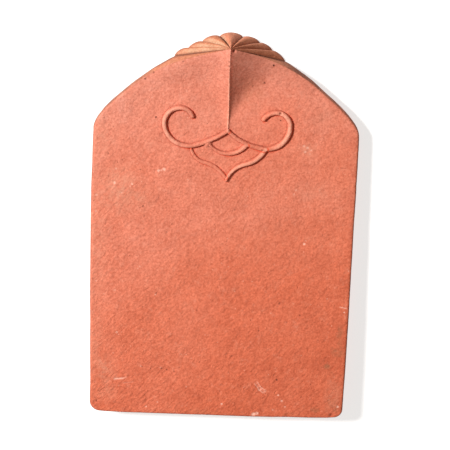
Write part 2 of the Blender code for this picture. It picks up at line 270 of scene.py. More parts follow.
CHIPS = [
    (-67.9, 266.8, 1.8, 0.15, 0, 0.75), (-62.1, 268.5, 1.9, 0.15, 0, 0.9), (-65.0, 267.4, 1.3, 0.1, 0, 0.5), (-111.5, 267.3, 1.4, 0.15, 0, 0.5), (-112.8, 252.5, 1.8, 0.2, 0, 0.8),
    (-94.8, 251.6, 1.5, 0.15, 0, 0.7), (-96.8, 249.2, 1.2, 0.1, 0, 0.45), (-105.2, 242.0, 1.2, 0.1, 0, 0.45), (-131.0, 238.5, 1.3, 0.2, 0, 0.8), (-131.6, 221.2, 1.2, 0.2, 0, 0.6),
    (79.7, 298.2, 1.5, 0.15, 0, 0.6), (83.4, 296.3, 1.6, 0.15, 0, 0.7), (87.1, 293.8, 1.4, 0.15, 0, 0.6), (81.1, 292.0, 1.6, 0.15, 0, 0.6),
    (86.0, 290.0, 1.1, 0.1, 0, 0.4), (73.8, 251.2, 1.3, 0.15, 0, 0.5), (85.0, 193.7, 1.5, 0.2, 0, 0.95), (86.7, 197.3, 0.9, 0.12, 0, 0.6), (112.0, 134.5, 0.9, 0.12, 0, 0.6), (84.7, 185.1, 0.8, 0.1, 0, 0.4), (132.6, 166.0, 0.8, 0.1, 0, 0.5), (130.8, 119.9, 1.3, 0.25, 0, 0.8),
    (65.5, 23.4, 1.4, 0.2, 0, 0.75), (69.6, 16.7, 1.4, 0.25, 0, 0.8), (73.4, 10.2, 1.2, 0.2, 0, 0.6), (39.6, 0.2, 2.9, 0.5, 0, 1.0), (43.4, 1.2, 2.4, 0.4, 0, 0.8), (129.6, 12.4, 1.5, 0.3, 0, 0.9), (60.2, 6.0, 1.2, 0.2, 0, 0.5),
    (-75.6, 4.6, 1.3, 0.2, 0, 0.6), (-63.4, 10.4, 1.1, 0.1, 0, 0.5), (5.4, 10.8, 1.5, 0.25, 0, 0.75), (-33.1, 29.3, 0.9, 0.1, 0, 0.5),
    (-87.1, 160.3, 1.0, 0.1, 0, 0.45), (-85.2, 162.9, 0.9, 0.1, 0, 0.35), (-68.4, 132.3, 1.1, 0.12, 0, 0.55), (-82.3, 51.1, 1.1, 0.12, 0, 0.5), (-61.3, 50.2, 1.0, 0.12, 0, 0.45), (-108.2, 88.5, 1.5, 0.12, 0, 0.45), (-106.5, 86.1, 1.0, 0.1, 0, 0.35), (-111.9, 65.1, 0.9, 0.1, 0, 0.35), (-110.7, 135.7, 1.2, 0.1, 0, 0.4), (-130.7, 145.3, 1.0, 0.1, 0, 0.5),
    (72.0, 247.0, 1.0, 0.1, 0, 0.4), (98.0, 252.0, 1.0, 0.1, 0, 0.35), (64.0, 243.0, 1.0, 0.1, 0, 0.3), (-20.0, 238.0, 1.0, 0.1, 0, 0.25),
]
# long marks: ends, half-width, depth, pale at the rim, pale all over
STREAKS = [
    (41.6, 36.4, 45.6, 30.4, 1.7, 0.55, 0.9, 0.15), (45.6, 30.4, 49.6, 27.4, 1.9, 0.5, 0.9, 0.2), (-109.5, 35.4, -101.0, 36.4, 1.2, 0.25, 0.3, 0.9), (-101.0, 36.4, -97.5, 37.6, 0.7, 0.15, 0.2, 0.5),
    (126.5, 125.6, 132.9, 124.5, 0.7, 0.25, 0.2, 0.8), (-100.0, 31.0, -90.0, 32.6, 0.6, 0.15, 0.1, 0.25),
]
STAINS = [
    (116.1, 57.9, 4.5, 4.0, 0.95), (120.4, 51.6, 3.5, 3.0, 0.5), (124.0, 74.6, 5.5, 6.0, 0.8), (120.1, 79.4, 2.0, 2.0, 0.9), (129.4, 73.4, 6.0, 6.0, 0.5),
    (127.6, 97.4, 4.5, 10.0, 0.75), (128.5, 84.7, 4.0, 9.0, 0.45), (106.6, 8.1, 7.0, 4.5, 0.7), (123.6, 16.5, 7.0, 6.0, 0.5), (129.4, 8.7, 6.0, 4.0, 0.5), (80.8, 1.7, 14.0, 2.5, 0.35),
    (-20.0, 1.0, 30.0, 3.0, 0.25), (24.0, 352.0, 18.0, 26.0, 0.3), (104.0, 330.0, 20.0, 14.0, 0.15),
]
# darker tone patches; the last one, on the nose's left flank that faces the light, is painted shade
DEEPER = [
    (54.0, 200.0, 36.0, 30.0, 0.8), (-23.0, 152.0, 34.0, 18.0, 0.6), (-95.0, 88.0, 30.0, 24.0, 0.5), (108.0, 72.0, 26.0, 40.0, 0.6), (-92.0, 345.0, 26.0, 16.0, 0.4),
    (64.0, 236.0, 30.0, 16.0, 0.4), (-4.0, 92.0, 40.0, 20.0, 0.4), (76.0, 140.0, 26.0, 30.0, 0.4), (-50.0, 60.0, 40.0, 14.0, 0.35), (-20.0, 352.0, 24.0, 40.0, 0.6),
]
BLOOMS = [(-134.0, 205.0, 20.0, 120.0, 0.45), (-134.0, 70.0, 15.0, 90.0, 0.4), (-128.0, 300.0, 26.0, 30.0, 0.35), (-108.0, 246.0, 30.0, 34.0, 0.8), (-88.0, 238.0, 22.0, 20.0, 0.5), (-122.0, 46.0, 18.0, 22.0, 0.7), (-118.0, 20.0, 14.0, 16.0, 0.5), (124.0, 24.0, 12.0, 30.0, 0.5), (84.0, 294.0, 14.0, 12.0, 0.5), (96.0, 250.0, 34.0, 14.0, 0.3)]
NOTCHES = [(123.4, 2.4, 2.2, 1.6), (1.4, 381.7, 1.2, 0.9), (54.8, 331.4, 1.7, 2.0), (4.6, 398.4, 1.9, 2.4), (-26.2, 296.8, 0.9, 0.8), (-64.4, 306.5, 1.3, 0.5)]


def marks(x, y, side):
    """Depth taken out of the face by marks, and the dark and pale masks that colour them."""
    depth, dark, pale = np.zeros(len(x)), np.zeros(len(x)), np.zeros(len(x))
    for mx, my, r, deep, d, p in PITS + CHIPS:
        q = np.hypot(x - mx, y - my)
        near = np.nonzero(q < r * 2.2)[0]
        if not len(near):
            continue
        ragged = r * (1 + 0.35 * fbm(x[near] * 1.0, y[near] * 1.0, np.full(len(near), mx), 1.6, 1, 4.0))
        k = np.clip(1 - q[near] / ragged, 0, 1)
        cup = k * k * (3 - 2 * k)
        depth[near] += deep * cup
        soft = np.clip(k * 2.2, 0, 1)
        dark[near] = np.maximum(dark[near], d * soft)
        pale[near] = np.maximum(pale[near], p * soft)
    for ax, ay, bx, by, half, deep, rim, all_over in STREAKS:
        dx, dy = bx - ax, by - ay
        k = np.clip(((x - ax) * dx + (y - ay) * dy) / (dx * dx + dy * dy), 0, 1)
        q = np.hypot(x - ax - k * dx, y - ay - k * dy) / half
        near = np.nonzero(q < 1.6)[0]
        if not len(near):
            continue
        q = q[near] * (1 + 0.3 * fbm(x[near], y[near], np.zeros(len(near)), 2.0, 1, 6.0))
        cup = np.clip(1.15 - q, 0, 1)
        depth[near] += deep * cup * cup * (3 - 2 * np.clip(cup, 0, 1))
        pale[near] = np.maximum(pale[near], np.maximum(rim * np.clip(1 - np.abs(q - 0.95) / 0.35, 0, 1), all_over * np.clip(1.2 - q, 0, 1)))
    for mx, my, r, deep in NOTCHES:
        q = np.hypot(x - mx, y - my) / r
        cup = np.clip(1.3 - q, 0, 1)
        depth += deep * cup**1.3
        dark = np.maximum(dark, 0.5 * np.clip(1.1 - q, 0, 1))
    return depth, dark, pale


def face_height(x, y):
    """Height of the finished face over the slab frame's plan."""
    u = u_of(x, y)
    back = arris_y(u) - y
    z = SLAB + rise(u, back)
    # the crest carries a thin raised line that shows most near its foot
    along = np.clip((y - 309.0) / 6.0, 0, 1) * np.clip((404.0 - y) / 60.0, 0.25, 1)
    z += 1.15 * along * np.exp(-((np.abs(u) / 0.95) ** 1.8))
    return z + bead_height(x, y)


def unevenness(x, y, z):
    """The hand-pressed clay's waviness: long swells, finger-sized dents and grain."""
    return (
        0.42 * fbm(x, y, z, 62.0, 2, 11.0)
        + 0.21 * fbm(x, y, z, 17.0, 2, 23.0)
        + 0.12 * fbm(x, y, z, 5.6, 2, 37.0)
    )


# ---------------------------------------------------------------- outline, arrises and the shell
def plan_columns():
    """Base points and inward directions round the plain edge, from the shell's right end clockwise to its left end."""
    points = []
    step = 1.7

    def add(px, py, nx, ny, u=None):
        out = swell_of(px, py)
        points.append((px - nx * out, py - ny * out, nx, ny, u, out))

    def gable(sign, xs):
        for x in xs:
            y = float(tail_y(x))
            if x > TANGENT_X:
                nx, ny = x - SHOULDER_X, y - SHOULDER_Y
            else:
                nx, ny = x - GABLE_X, y - GABLE_Y
            n = math.hypot(nx, ny)
            add(sign * x, y, -sign * nx / n, -ny / n, sign * x)

    def gable_xs():
        xs = []
        a0 = math.asin((N4R[0] - GABLE_X) / GABLE_R)
        a1 = math.asin((TANGENT_X - GABLE_X) / GABLE_R)
        n = round((a1 - a0) * GABLE_R / step)
        xs += [GABLE_X + GABLE_R * math.sin(a0 + (a1 - a0) * i / n) for i in range(1, n + 1)]
        a2 = math.asin((TANGENT_X - SHOULDER_X) / SHOULDER)
        n = 8
        xs += [SHOULDER_X + SHOULDER * math.sin(a2 + (math.pi / 2 - a2) * i / n) for i in range(1, n + 1)]
        return xs

    gable(1, gable_xs())
    n = round((SHOULDER_Y - HEAD_CORNER) / step)
    for i in range(1, n):
        add(WIDTH / 2, SHOULDER_Y + (HEAD_CORNER - SHOULDER_Y) * i / n, -1, 0)
    for i in range(11):
        a = -math.pi / 2 * i / 10
        add(WIDTH / 2 - HEAD_CORNER + HEAD_CORNER * math.cos(a), HEAD_CORNER + HEAD_CORNER * math.sin(a), -math.cos(a), -math.sin(a))
    n = round((WIDTH - 2 * HEAD_CORNER) / step)
    for i in range(1, n):
        add(WIDTH / 2 - HEAD_CORNER - (WIDTH - 2 * HEAD_CORNER) * i / n, 0.0, 0, 1)
    for i in range(11):
        a = -math.pi / 2 - math.pi / 2 * i / 10
        add(-WIDTH / 2 + HEAD_CORNER + HEAD_CORNER * math.cos(a), HEAD_CORNER + HEAD_CORNER * math.sin(a), -math.cos(a), -math.sin(a))
    n = round((SHOULDER_Y - HEAD_CORNER) / step)
    for i in range(1, n):
        add(-WIDTH / 2, HEAD_CORNER + (SHOULDER_Y - HEAD_CORNER) * i / n, 1, 0)
    left = gable_xs()[::-1]
    a0 = math.asin((-N4L[0] - GABLE_X) / GABLE_R)
    left = [x for x in left if x > -N4L[0] + 0.9]
    gable(-1, left)
    return points


def on_gable(x):
    y = float(tail_y(x))
    nx, ny = math.copysign(abs(x) - GABLE_X, x), y - GABLE_Y
    n, out = math.hypot(nx, ny), swell_of(x, y)
    return x, y, x + nx / n * out, y + ny / n * out


N4R = on_gable(SHELL_X + GROOVES[-1][0])
N4L = on_gable(-55.0)
NODES = [N4L[2:], (-42.5, 391.4), (-28.0, 399.5), (-10.2, 405.4), (13.8, 405.4), (31.6, 400.0), (44.7, 392.5), N4R[2:]]

APEX = Vector((float(crest_x(CREST_END_Y)), CREST_END_Y, SLAB + NOSE_RISE + 0.4))
RINGS = 40
EASE_RHO = 0.965
RHOS = [EASE_RHO * (i / RINGS) ** 1.15 for i in range(RINGS + 1)]
LOBE_STEPS = 14
SIDE_ROWS = 7


def rim_points():
    nodes, sizes, swells = NODES, LOBE_BULGE, LOBE_SWELL
    points = []
    for k in range(len(nodes) - 1):
        (ax, ay), (bx, by) = nodes[k], nodes[k + 1]
        chord = math.hypot(bx - ax, by - ay)
        nx, ny = -(by - ay) / chord, (bx - ax) / chord
        for i in range(LOBE_STEPS + (k == len(nodes) - 2)):
            t = 0.5 - 0.5 * math.cos(math.pi * i / LOBE_STEPS)
            t = 0.55 * t + 0.45 * i / LOBE_STEPS
            round_ = max(0.0, 1 - (2 * t - 1) ** 2) ** 0.62
            out = sizes[k] * round_
            points.append((ax + (bx - ax) * t + nx * out, ay + (by - ay) * t + ny * out, swells[k] * max(0.0, 1 - (2 * t - 1) ** 2) ** 0.62, nx, ny, round_))
    return points


def fan_point(rim, rho):
    x, y, swell, nx, ny, _ = rim
    p = APEX.lerp(Vector((x, y, 0.0)), rho)
    out = swell * 3.44 * rho**0.8 * (1 - rho)
    return p + Vector((nx * out, ny * out, 0.35 * out))


def bezier(a, b, c, n):
    return [a * ((1 - t) ** 2) + b * (2 * t * (1 - t)) + c * (t * t) for t in (i / n for i in range(1, n))]


class Skin:
    """Vertices and faces gathered from patches; equal points are made one at the end."""

    def __init__(self):
        self.points, self.faces, self.ends, self.grime, self.worn, self.tooled, self.shade = [], [], {}, {}, {}, {}, {}

    def add(self, p, end=0.0, grime=0.0, worn=0.0, tooled=0.0, shade=0.0):
        self.points.append((float(p[0]), float(p[1]), float(p[2])))
        if end:
            self.ends[len(self.points) - 1] = end
        if grime:
            self.grime[len(self.points) - 1] = grime
        if worn:
            self.worn[len(self.points) - 1] = worn
        if tooled:
            self.tooled[len(self.points) - 1] = tooled
        if shade:
            self.shade[len(self.points) - 1] = shade
        return len(self.points) - 1

    def grid(self, rows):
        """Quads between rows of vertex numbers."""
        for a, b in zip(rows, rows[1:]):
            for i in range(len(a) - 1):
                self.faces.append((a[i], a[i + 1], b[i + 1], b[i]))


def nick(s, seed):
    """How far small knocks bite into an arris at a length along it."""
    v = noise.noise((s / 7.0, seed, 0.3)) + 0.5 * noise.noise((s / 2.6, seed, 4.1))
    w = noise.noise((s / 34.0, seed, 9.7))
    return 0.16 * v + max(0.0, v - 0.55) * (0.9 + 1.2 * max(0.0, w))


def build_edges(skin):
    """Arrises, side faces, the end face and the shell. Returns the loops that bound the face and the underside."""
    plain = plan_columns()
    fan = rim_points()
    face_loop, under_loop = [], []
    arris_bits = 5

    def upper(base, u, inward, s, out):
        """From the face over the arris and down to base; base may be a point on the shell's outer ray."""
        bx, by, bz = base
        if u is not None and abs(u) < NOSE_HALF:
            ya = float(arris_y(u))
            top = Vector((x_of(u, ya) - inward[0] * out, ya - inward[1] * out, 0.0))
            ease = 0.6 + 2.4 * (abs(u) / NOSE_HALF) ** 2.5
        else:
            top = Vector((bx, by, 0.0))
            ease = ARRIS
        bite = nick(s, 2.0)
        tip = top - Vector((inward[0], inward[1], 0)) * min(0.0, bite) + Vector((inward[0], inward[1], 0)) * max(0.0, bite) * 0.6
        f = tip + Vector((inward[0], inward[1], 0)) * (ease + max(0.0, bite) * 0.8)
        f.z = float(face_height(np.array([f.x]), np.array([f.y]))[0])
        tz = float(face_height(np.array([tip.x]), np.array([tip.y]))[0]) if u is not None else SLAB
        tip.z = tz
        return f, tip, ease

    def column(base, u, inward, s, low, out):
        f, tip, ease = upper(base, u, inward, s, out)
        fall = low - tip
        reach_down = min(ease * 1.05, 0.45 * fall.length)
        e = tip + fall * (reach_down / fall.length) if fall.length > 1e-6 else tip.copy()
        mids = bezier(f, tip, e, arris_bits)
        sides = [e.lerp(low, i / SIDE_ROWS) for i in range(SIDE_ROWS + 1)]
        return [f] + mids + sides

    def lower(base, inward, start):
        g = Vector((base[0] + inward[0] * UNDER_ARRIS, base[1] + inward[1] * UNDER_ARRIS, 0.0))
        return bezier(start, Vector((base[0], base[1], 0.0)), g, 4) + [g]

    def shell_lit_flank_highlight(i, rho):
        """Painted highlight: paler cream on the lobes' flanks that face the light; k is the lobe from left to right, t
        the way across it.
        """
        k, t = min(i // LOBE_STEPS, 6), (i % LOBE_STEPS) / LOBE_STEPS
        amount, middle, width = ((1.0, 0.20, 0.32), (1.0, 0.17, 0.28), (1.0, 0.15, 0.26), (0.8, 0.07, 0.14), (0.8, 0.06, 0.12), (0.6, 0.06, 0.11), (0.6, 0.08, 0.13))[k]
        return amount * max(0.0, 1 - (abs(t - middle) / width) ** 2) * min(1.0, rho * 4) * min(1.0, max(0.0, (0.99 - rho) * 4))

    def shell_shade(i, rho):
        k, t = min(i // LOBE_STEPS, 6), (i % LOBE_STEPS) / LOBE_STEPS
        low, high = ((0.4, 1.0), (0.4, 1.0), (0.4, 1.0), (0.42, 0.35), (0.25, 0.6), (0.4, 0.6), (0.4, 0.6))[k]
        return low + (high - low) * min(1.0, max(0.0, (t - 0.22) / 0.24))

    def shell_painted_shade(i, rho):
        """Painted shade about the umbo, under each lobe's upper flank and at the foot of the right-hand lobes; the
        foot of the left-hand lobes is darker too.
        """
        k, t = min(i // LOBE_STEPS, 6), (i % LOBE_STEPS) / LOBE_STEPS
        rim = max(0.0, (rho - 0.9) / 0.08) if k + t > 3.5 else 0.6 * max(0.0, (rho - 0.86) / 0.1)
        under = (0.42, 0.46, 0.15, 0.5, 0.3, 0.25, 0.2)[k] * min(1.0, max(0.0, (t - 0.66) / 0.3)) * min(1.0, rho * 5)
        return min(0.85, max(rim, under) + 0.25 * max(0.0, (0.12 - rho) / 0.12))

    # shell first: its outer rays are shared with the columns beside it
    rings = []
    for rho in RHOS:
        # painted shade also darkens the grooves between the lobes
        rings.append([skin.add(fan_point(r, rho), 1.0, max(shell_painted_shade(i, rho), (0.6 if r[5] < 0.05 else 0.25 if r[5] < 0.5 else 0.0) * min(1.0, rho * 8)), shell_lit_flank_highlight(i, rho), 0.0, shell_shade(i, rho)) for i, r in enumerate(fan)])
    skin.grid(rings)
    fan_low = []
    for i, r in enumerate(fan):
        start = fan_point(r, EASE_RHO)
        inward = (-r[3], -r[4])
        base = (r[0] + inward[0] * RIM_EASE * 0.5, r[1] + inward[1] * RIM_EASE * 0.5)
        # the shell's foot is coloured darker all round
        fan_low.append([skin.add(p, 1.0, 0.55) for p in [start] + lower(base, inward, start)])
    skin.grid([list(row) for row in zip(*fan_low)])

    columns, lows = [], []
    s = 0.0

    def corner_column(k, u):
        r = fan[k]
        inward_end = Vector((-r[3], -r[4], 0))
        return fan_point(r, EASE_RHO), u, (inward_end.x, inward_end.y)

    # right end of the shell
    def wedge(k, sign, order):
        for i in order:
            rho = RHOS[i]
            low = fan_point(fan[k], rho)
            end_u = (N4R if sign > 0 else N4L)[0]
            u = end_u * (rho / EASE_RHO) ** 0.92
            inward = Vector((-sign * 0.42 * min(1.0, rho * 4), -1.0, 0)).normalized()
            yield column((low.x, low.y, low.z), u, inward, s, low, swell_of(u, 400.0)), i

    cols = []
    for col, i in wedge(len(fan) - 1, 1, range(0, RINGS + 1)):
        cols.append((col, None))
    previous = None
    for px, py, nx, ny, u, out in plain:
        if previous is not None:
            s += math.hypot(px - previous[0], py - previous[1])
        previous = (px, py)
        side = Vector((nx, ny, 0))
        tip_z = SLAB
        start = Vector((px, py, 0.0)) + Vector((0, 0, 1.55))
        if u is not None and abs(u) < NOSE_HALF:
            ya = float(arris_y(u))
            tip = Vector((x_of(u, ya) - nx * out, ya - ny * out, SLAB + NOSE_RISE * float(reach(u)) ** 2))
            start = Vector((px, py, 0.0)).lerp(tip, 1.55 / tip.z)
        wob = 0.12 * noise.noise((s / 5.0, 7.7, 0.0)) + 0.2 * noise.noise((s / 19.0, 1.7, 0.0))
        start -= side * wob
        cols.append((column((px, py, 0.0), u, (nx, ny), s, start, out), (px, py, nx, ny, start)))
    for col, i in wedge(0, -1, range(RINGS, -1, -1)):
        cols.append((col, None))

    share = [min(1.0, max(0.0, (i - 1.5) / 2.5)) for i in range(arris_bits + SIDE_ROWS + 1)]
    edge_darkening_rows = [(0.0, 0.0, 0.3, 0.8)[i] if i < 4 else 1.0 for i in range(arris_bits + SIDE_ROWS + 1)]

    def edge_shade_and_darkening(p):
        """Painted shade on the head edge and the right-hand edge, which face away from the light; the outer left-hand
        edge is darker too.
        """
        x, y = p[0], p[1]
        right = min(1.0, max(0.0, (x - 50.0) / 16.0)) if y > 40 else min(1.0, max(0.0, (x - 100.0) / 20.0))
        left = 0.85 * min(1.0, max(0.0, (-73.0 - x) / 8.0)) if y > 300 else 0.75 * min(1.0, max(0.0, (-100.0 - x) / 20.0))
        head = 0.95 * min(1.0, max(0.0, (12.0 - y) / 8.0))
        patchy = 0.85 + 0.5 * noise.noise((x / 9.0, y / 9.0, 2.5))
        return min(1.0, max(right * 1.1, left, head) * patchy)

    grid_rows = []
    for col, info in cols:
        by_shell = info is None and abs(col[0].x) > 4
        left_edge = info is not None and -95 < col[0].x < 0 and col[0].y > 330
        # painted shade: a dark line along the face edge beside the shell and near the left gable; the lowest side rows
        # are coloured darker towards the bottom
        lined = (0.4, 0.5, 0.2) if by_shell and col[0].x < 0 else (0.35, 0.45, 0.15) if left_edge else (0, 0, 0)
        grid_rows.append([skin.add(p, 1.0 if by_shell and i > 2 else e, max(g * edge_shade_and_darkening(col[0]), lined[i - 1] if 0 < i < 4 else 0.0, 0.42 * (i - 9) if i > 9 else 0.0), 0.0, 0.0, (0.55 if col[0].x < 0 else 0.35) if i > 2 and abs(col[0].x) < 90 and col[0].y > 330 else 0.0)
                          for i, (p, e, g) in enumerate(zip(col, share, edge_darkening_rows))])
    for a, b in zip(grid_rows, grid_rows[1:] + grid_rows[:1]):
        for i in range(len(a) - 1):
            skin.faces.append((a[i], b[i], b[i + 1], a[i + 1]))
    face_loop = [(skin.points[row[0]]) for row in grid_rows]

    low_cols = [fan_low[-1]]
    for (col, info), row in zip(cols, grid_rows):
        if info is None:
            continue
        px, py, nx, ny, start = info
        # the lower arris is coloured darker
        low_cols.append([row[-1]] + [skin.add(p, 0.8, 0.7) for p in lower((px, py), (nx, ny), start)])
    low_cols.append(fan_low[0])
    for a, b in zip(low_cols, low_cols[1:]):
        for i in range(len(a) - 1):
            skin.faces.append((a[i], b[i], b[i + 1], a[i + 1]))
    under_loop = [skin.points[c[-1]] for c in low_cols] + [skin.points[c[-1]] for c in fan_low[1:-1]]
    return face_loop, under_loop


class Sprinkle:
    """Plan points kept a least distance apart, by a coarse hash."""

    def __init__(self, cell=1.0):
        self.cell, self.table, self.points = cell, {}, []

    def clear(self, x, y, gap):
        c = self.cell
        n = int(gap / c) + 1
        i, j = int(x // c), int(y // c)
        g = gap * gap
        for a in range(i - n, i + n + 1):
            for b in range(j - n, j + n + 1):
                for q in self.table.get((a, b), ()):
                    p = self.points[q]
                    if (p[0] - x) ** 2 + (p[1] - y) ** 2 < g:
                        return False
        return True

    def put(self, x, y, gap=0.0):
        if gap and not self.clear(x, y, gap):
            return None
        self.points.append((x, y))
        self.table.setdefault((int(x // self.cell), int(y // self.cell)), []).append(len(self.points) - 1)
        return len(self.points) - 1


def thin_loop(loop, gap=0.02):
    out = []
    for p in loop:
        if not out or math.hypot(p[0] - out[-1][0], p[1] - out[-1][1]) > gap:
            out.append(p)
    if math.hypot(out[0][0] - out[-1][0], out[0][1] - out[-1][1]) <= gap:
        out.pop()
    return out


def inside_fn(loop, size=0.5):
    """A vectorised even-odd test against a closed plan loop."""
    a = np.array([p[:2] for p in loop])
    b = np.roll(a, -1, axis=0)

    def test(x, y):
        hit = np.zeros(len(x), bool)
        for (ax, ay), (bx, by) in zip(a, b):
            if ay == by:
                continue
            cross = (ay > y) != (by > y)
            hit ^= cross & (x < (bx - ax) * (y - ay) / (by - ay) + ax)
        return hit

    return test


def build_face(skin, loop):
    loop = thin_loop(loop)
    bag = Sprinkle()
    ring = [bag.put(p[0], p[1]) for p in loop]
    edges = []
    # crest: a sharp line from its foot to the umbo
    top = min(loop, key=lambda p: abs(p[0] - APEX.x) + abs(p[1] - APEX.y))
    ys = np.arange(309.0, top[1] - 0.45, 0.9)
    chain = [bag.put(float(crest_x(y)), float(y)) for y in ys]
    chain.append(min(ring, key=lambda i: abs(bag.points[i][0] - top[0]) + abs(bag.points[i][1] - top[1])))
    edges += list(zip(chain, chain[1:]))
    for off in (0.45, 0.95, 1.6, 2.6, 3.8):
        for sign in (-1, 1):
            for y in np.arange(309.0, top[1] - 0.6 - 0.35 * off, 0.95 + 0.1 * off):
                bag.put(x_of(sign * off, y), float(y), 0.3)
    # beads: rows beside each centre line, closer together where the bead is steep
    for name, (line, half, high, t) in BEAD_LINES.items():
        d = np.gradient(line, axis=0)
        d /= np.hypot(d[:, 0], d[:, 1])[:, None]
        n = np.c_[-d[:, 1], d[:, 0]]
        for frac in (0.98, -0.98, 1.1, -1.1, 0.86, -0.86, 1.28, -1.28, 0.66, -0.66, 0.36, -0.36, 0.0, 1.6, -1.6):
            for (px, py), (nx, ny), w in zip(line, n, half):
                bag.put(px + nx * w * frac, py + ny * w * frac, 0.2)
        for end, w, dx, dy in ((line[0], half[0], -d[0, 0], -d[0, 1]), (line[-1], half[-1], d[-1, 0], d[-1, 1])):
            base = math.atan2(dy, dx)
            for frac in (0.98, 1.1, 0.86, 1.28, 0.66, 0.36):
                for k in range(-6, 7):
                    a = base + math.radians(15 * k)
                    bag.put(end[0] + math.cos(a) * w * frac, end[1] + math.sin(a) * w * frac, 0.2)
    # marks
    for mx, my, r, *_ in PITS + CHIPS + [(a, b, c, 0) for a, b, c, _ in NOTCHES]:
        for k in range(-7, 8):
            for m in range(-7, 8):
                x, y = mx + 0.5 * (k + 0.5 * (m % 2)), my + 0.44 * m
                if math.hypot(x - mx, y - my) < r * 1.35:
                    bag.put(x, y, 0.34)
    for ax, ay, bx, by, half, *_ in STREAKS:
        length = math.hypot(bx - ax, by - ay)
        for k in range(int(length / 0.55) + 1):
            for m in range(-5, 6):
                f = k * 0.55 / length
                x = ax + (bx - ax) * f - (by - ay) / length * m * half * 0.32
                y = ay + (by - ay) * f + (bx - ax) / length * m * half * 0.32
                bag.put(x, y, 0.36)
    # even cover
    rng = np.random.default_rng(41)
    gap = 1.74
    rows = int(412 / (gap * 0.866))
    xs, ys = [], []
    for j in range(rows):
        y = j * gap * 0.866
        x = np.arange(-137 + (j % 2) * gap / 2, 137, gap)
        xs.append(x)
        ys.append(np.full(len(x), y))
    x, y = np.concatenate(xs), np.concatenate(ys)
    x += rng.uniform(-0.22, 0.22, len(x)) * gap
    y += rng.uniform(-0.22, 0.22, len(y)) * gap
    keep = inside_fn(loop)(x, y)
    for a, b in zip(x[keep], y[keep]):
        bag.put(float(a), float(b), 1.0)

    # feature points that fell outside the loop are dropped
    pts = np.array(bag.points)
    ok = inside_fn(loop)(pts[:, 0], pts[:, 1])
    ok[: len(ring)] = True
    ok[chain] = True
    index = np.cumsum(ok) - 1
    pts = pts[ok]
    edges = [(int(index[a]), int(index[b])) for a, b in edges]
    out = delaunay_2d_cdt([Vector(p) for p in pts], edges, [list(range(len(ring)))], 1, 1e-6, True)
    verts, _, faces, orig = out[0], out[1], out[2], out[3]
    x = np.array([v.x for v in verts])
    y = np.array([v.y for v in verts])
    z = face_height(x, y)
    for i, o in enumerate(orig):
        for k in o:
            if k < len(ring):
                x[i], y[i], z[i] = loop[k]
    add_patch(skin, x, y, z, faces, [inside_fn(loop)], [])


def add_patch(skin, x, y, z, faces, within, without):
    """Triangles of a plan patch whose middles lie inside one set of loops and outside another."""
    tri = np.array([f[:3] for f in faces])
    mx, my = x[tri].mean(1), y[tri].mean(1)
    keep = np.ones(len(tri), bool)
    for test in within:
        keep &= test(mx, my)
    for test in without:
        keep &= ~test(mx, my)
    base = len(skin.points)
    for a, b, c in zip(x, y, z):
        skin.points.append((float(a), float(b), float(c)))
    skin.faces += [tuple(base + i for i in f) for f, k in zip(faces, keep) if k]


def hollow_depth(y):
    return rise(np.zeros_like(y), arris_y(np.zeros_like(y)) - y) - HOLLOW_EASE


def hollow_end(x):
    outer_x, outer_y = GROOVES[-1]
    base = np.where(np.abs(x) >= outer_x, tail_y(x), END_BASE_Y + (outer_y - END_BASE_Y) * np.abs(x) / outer_x)
    return base - WALL + 1.0


HOLLOW_SPREAD = (HOLLOW_HALF - HOLLOW_START_HALF) / (HOLLOW_END_Y - HOLLOW_START_Y)


def under_height(x, y):
    """The underside: flat, with the hollow under the nose."""
    half = HOLLOW_START_HALF + (y - HOLLOW_START_Y) * HOLLOW_SPREAD
    tent = hollow_depth(y) * (1 - np.abs(x) / np.maximum(half, 1.0))
    to_end = hollow_end(x) - y
    wall = np.clip(to_end / 0.9, 0, 1)
    top = 1 - 0.10 * np.clip(1 - to_end / 3.5, 0, 1) ** 2
    z = np.where((y > HOLLOW_START_Y) & (to_end > 0) & (np.abs(x) < HOLLOW_SIDE + 1), tent * wall * top, 0.0)
    return np.maximum(z, 0.0)


def nib_loop(cx, off, count=14):
    """A rounded rectangle in plan, drawn in by off."""
    r = max(0.6, 3.2 - off)
    hx, hy = NIB_WIDTH / 2 - off, (NIB_LOW_Y - NIB_TOP_Y) / 2 - off
    cy = (NIB_LOW_Y + NIB_TOP_Y) / 2
    out = []
    for sx, sy, a0 in ((1, 1, 0), (-1, 1, 90), (-1, -1, 180), (1, -1, 270)):
        for i in range(6):
            a = math.radians(a0 + 90 * i / 5)
            out.append((cx + sx * (hx - r) + r * math.cos(a), cy + sy * (hy - r) + r * math.sin(a)))
        nxt = {(1, 1): (-1, 1), (-1, 1): (-1, -1), (-1, -1): (1, -1), (1, -1): (1, 1)}[(sx, sy)]
        a = math.radians(a0 + 90)
        p = out[-1]
        q = (cx + nxt[0] * (hx - r) + r * math.cos(a), cy + nxt[1] * (hy - r) + r * math.sin(a))
        n = count if sy == nxt[1] else 5
        out += [(p[0] + (q[0] - p[0]) * k / n, p[1] + (q[1] - p[1]) * k / n) for k in range(1, n)]
    return out


